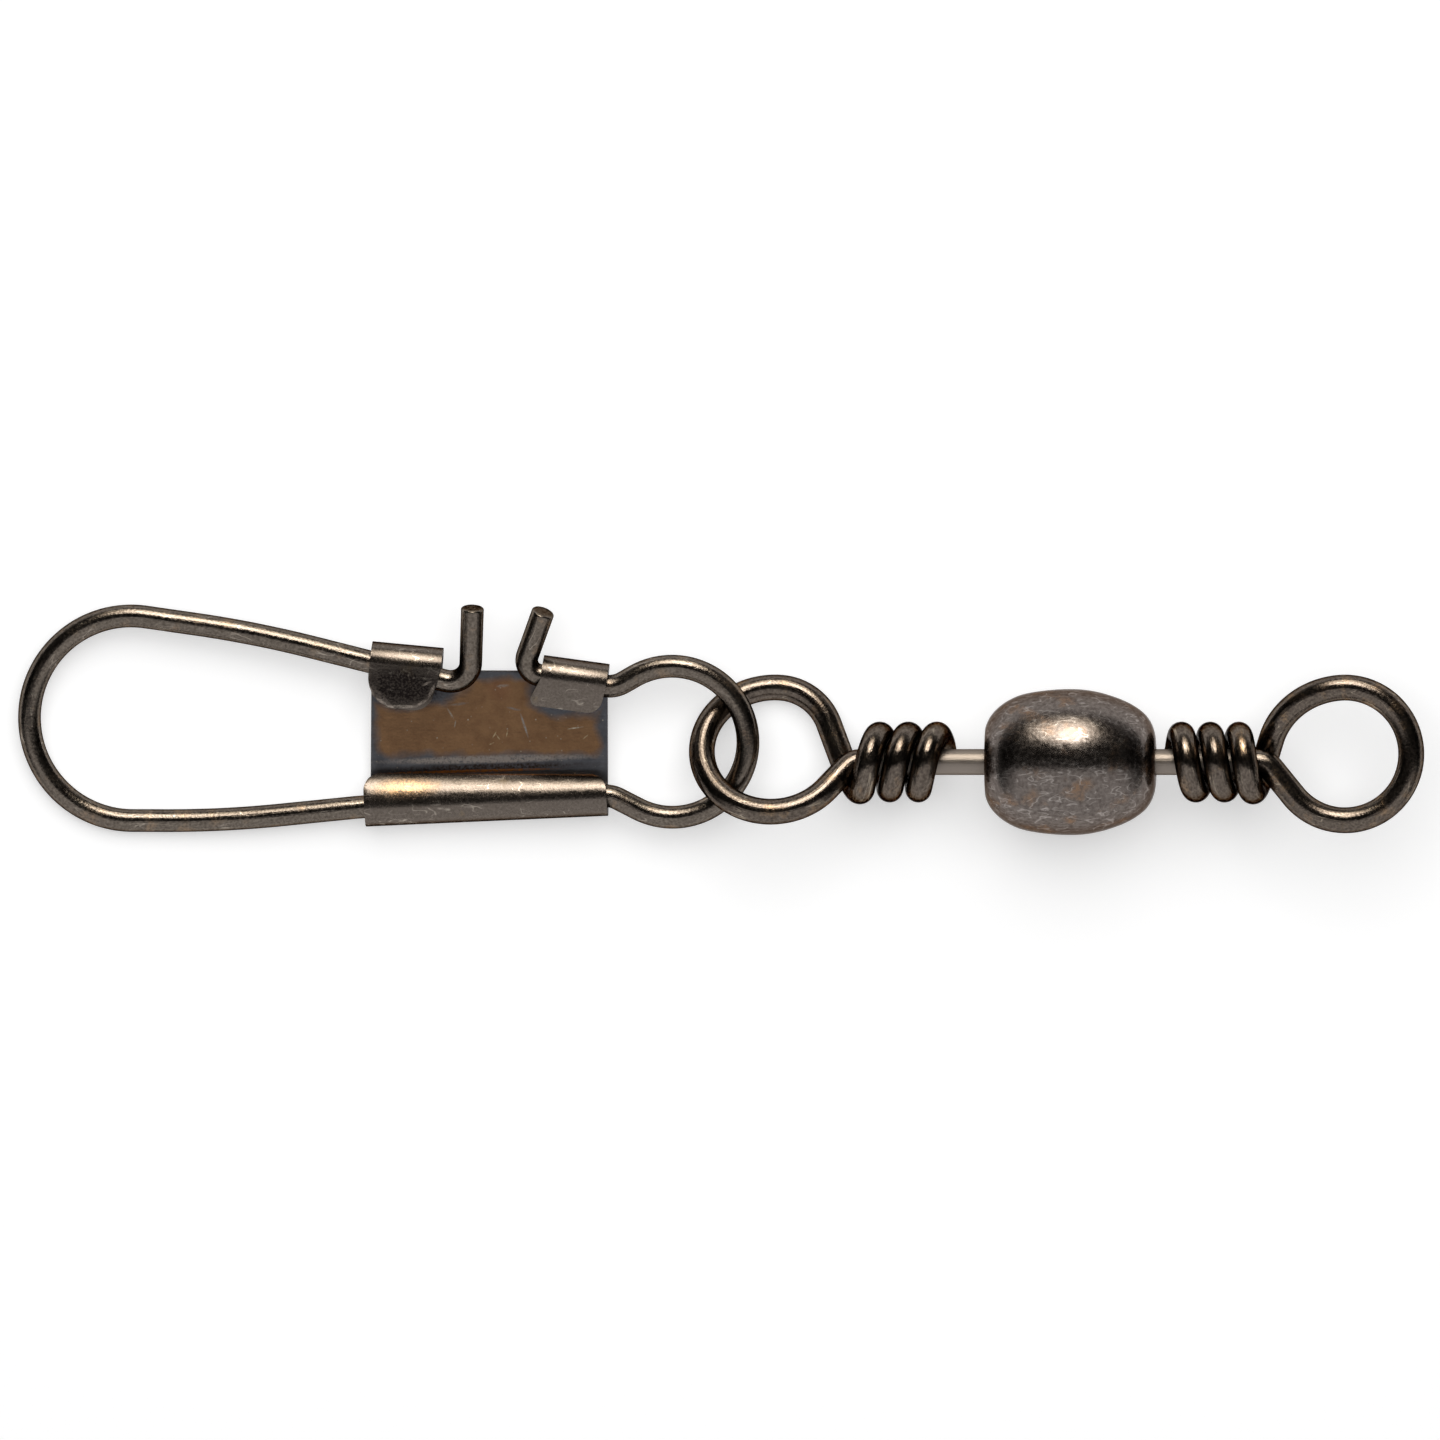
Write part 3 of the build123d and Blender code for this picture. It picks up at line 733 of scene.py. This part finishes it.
studio = {
    "tableColour": "#d3d3d3", "tableGlow": 0.52, "tableHalf": 3.0,
    "horizon": 0.45, "overhead": 0.025, "paleTo": 0.02, "darkFrom": 0.36,   # how high a view looks
    "front": 0.86, "frontFrom": 0.12, "frontTo": 0.27,      # how far a view leans towards -Y
    "side": 0.12, "sideFrom": 0.62, "sideTo": 0.90,         # and towards either side
    "cameraHeight": 1.0, "pictureWidth": 51.245 * mm, "pictureMiddle": (-0.007 * mm, -0.0185 * mm),
    "sensorWidth": 36.0, "cameraSees": (0.05, 20.0),        # from and to this far
}


def paleTable():
    # a matt white table: it takes the soft shadows, and glows white to the eye and in the metal
    material, add = newMaterial("matt white card")
    rays = add("ShaderNodeLightPath")
    seen = add(
        "ShaderNodeMath", {0: rays["Is Camera Ray"], 1: rays["Is Glossy Ray"]}, operation="MAXIMUM"
    )[0]
    seen = add("ShaderNodeMath", {0: seen, 1: rays["Is Transmission Ray"]}, operation="MAXIMUM")[0]
    glow = add("ShaderNodeMath", {0: seen, 1: studio["tableGlow"]}, operation="MULTIPLY")[0]
    white = add("ShaderNodeEmission", {"Color": (1, 1, 1, 1), "Strength": glow})[0]
    matt = add("ShaderNodeBsdfDiffuse", {"Color": hexColour(studio["tableColour"])})[0]
    both = add("ShaderNodeAddShader", {0: white, 1: matt})[0]
    add("ShaderNodeOutputMaterial", {"Surface": both})
    mesh = bpy.data.meshes.new("table")
    half = studio["tableHalf"]
    mesh.from_pydata(
        [(-half, -half, 0), (half, -half, 0), (half, half, 0), (-half, half, 0)], [], [(0, 1, 2, 3)]
    )
    table = bpy.data.objects.new("table", mesh)
    bpy.context.scene.collection.objects.link(table)
    mesh.materials.append(material)


def studioWorld():
    # pale low down and towards -Y, dark overhead and at the sides, as in a tent with black flags
    world = bpy.data.worlds.new("studio")
    bpy.context.scene.world = world
    world.cycles_visibility.diffuse = False         # the table is lit by its own lamp
    world.use_nodes = True
    world.node_tree.nodes.clear()
    add = partial(addNode, world.node_tree)
    direction = add("ShaderNodeTexCoord")["Generated"]
    axes = add("ShaderNodeSeparateXYZ", {0: direction})
    horizon = add(
        "ShaderNodeMapRange",
        {"Value": axes["Z"], "From Min": studio["paleTo"], "From Max": studio["darkFrom"],
         "To Min": studio["horizon"], "To Max": studio["overhead"]},
    )[0]
    front = add(
        "ShaderNodeMapRange",
        {"Value": axes["Y"], "From Min": -studio["frontFrom"], "From Max": -studio["frontTo"],
         "To Min": 0.0, "To Max": studio["front"]},
    )[0]
    strength = add("ShaderNodeMath", {0: horizon, 1: front}, operation="MAXIMUM")[0]
    aside = add("ShaderNodeMath", {0: axes["X"]}, operation="ABSOLUTE")[0]
    sides = add(
        "ShaderNodeMapRange",
        {"Value": aside, "From Min": studio["sideFrom"], "From Max": studio["sideTo"],
         "To Min": 1.0, "To Max": studio["side"]},
    )[0]
    strength = add("ShaderNodeMath", {0: strength, 1: sides}, operation="MULTIPLY")[0]
    light = add("ShaderNodeBackground", {"Color": (1, 1, 1, 1), "Strength": strength})[0]
    add("ShaderNodeOutputWorld", {"Surface": light})


# degrees from +Y, degrees up, distance, width, height, radiance, colour, what it lights
lamps = {
    "key softbox": (0, 37, 0.45, 0.36, 0.38, 1.6, "#fff6e4", "metal"),
    "key middle": (0, 41, 0.44, 0.27, 0.31, 2.9, "#fff8ea", "metal"),
    "key core": (1, 45, 0.43, 0.15, 0.20, 6.6, "#fffcf6", "metal"),
    "table light": (0, 70, 0.50, 0.66, 0.66, 2.70, "#ffffff", "table"),
}


def softLamps():
    for name, (azimuth, elevation, distance, width, height, radiance, colour, use) in lamps.items():
        data = bpy.data.lights.new(name, "AREA")
        data.shape = "ELLIPSE"
        data.size = width
        data.size_y = height
        data.energy = radiance * math.pi * (math.pi / 4 * width * height)
        data.color = hexColour(colour)[:3]
        lamp = bpy.data.objects.new(name, data)
        bpy.context.scene.collection.objects.link(lamp)
        level = distance * math.cos(math.radians(elevation))
        lamp.location = (
            level * math.sin(math.radians(azimuth)),
            level * math.cos(math.radians(azimuth)),
            distance * math.sin(math.radians(elevation)),
        )
        lamp.rotation_euler = (-lamp.location).to_track_quat("-Z", "Y").to_euler()
        lamp.visible_camera = False
        lamp.visible_diffuse = use == "table"
        lamp.visible_glossy = use == "metal"


def overheadCamera():
    data = bpy.data.cameras.new("overhead")
    data.sensor_width = studio["sensorWidth"]
    data.sensor_fit = "HORIZONTAL"
    data.clip_start, data.clip_end = studio["cameraSees"]
    low, high = cadBox
    subjectHeight = (low.z + high.z) / 2
    distance = studio["cameraHeight"] - subjectHeight
    data.lens = data.sensor_width * distance / studio["pictureWidth"]
    camera = bpy.data.objects.new("overhead", data)
    camera.location = (*studio["pictureMiddle"], studio["cameraHeight"])
    bpy.context.scene.collection.objects.link(camera)
    bpy.context.scene.camera = camera


bpy.context.scene.view_settings.view_transform = "Standard"
paleTable()
studioWorld()
softLamps()
overheadCamera()
print("studio is ready")

springWire = blackNickel("black nickel on spring steel wire", platings["springWire"])
swivelWire = blackNickel("black nickel on brass wire", platings["swivelWire"])
barrelShell = blackNickel("black nickel on turned brass", platings["barrelShell"])
claspSheet = tintedSheet("black nickel on tempered steel strip", platings["claspSheet"])
snapWire(springWire)
eyeWire("snap_side_eye", "snap_side_eye_plated", 2.0, swivelWire)
eyeWire("line_eye", "line_eye_plated", 3.0, swivelWire)
swivelBarrel(barrelShell)
claspPlate(claspSheet)
print("all pieces are dressed")
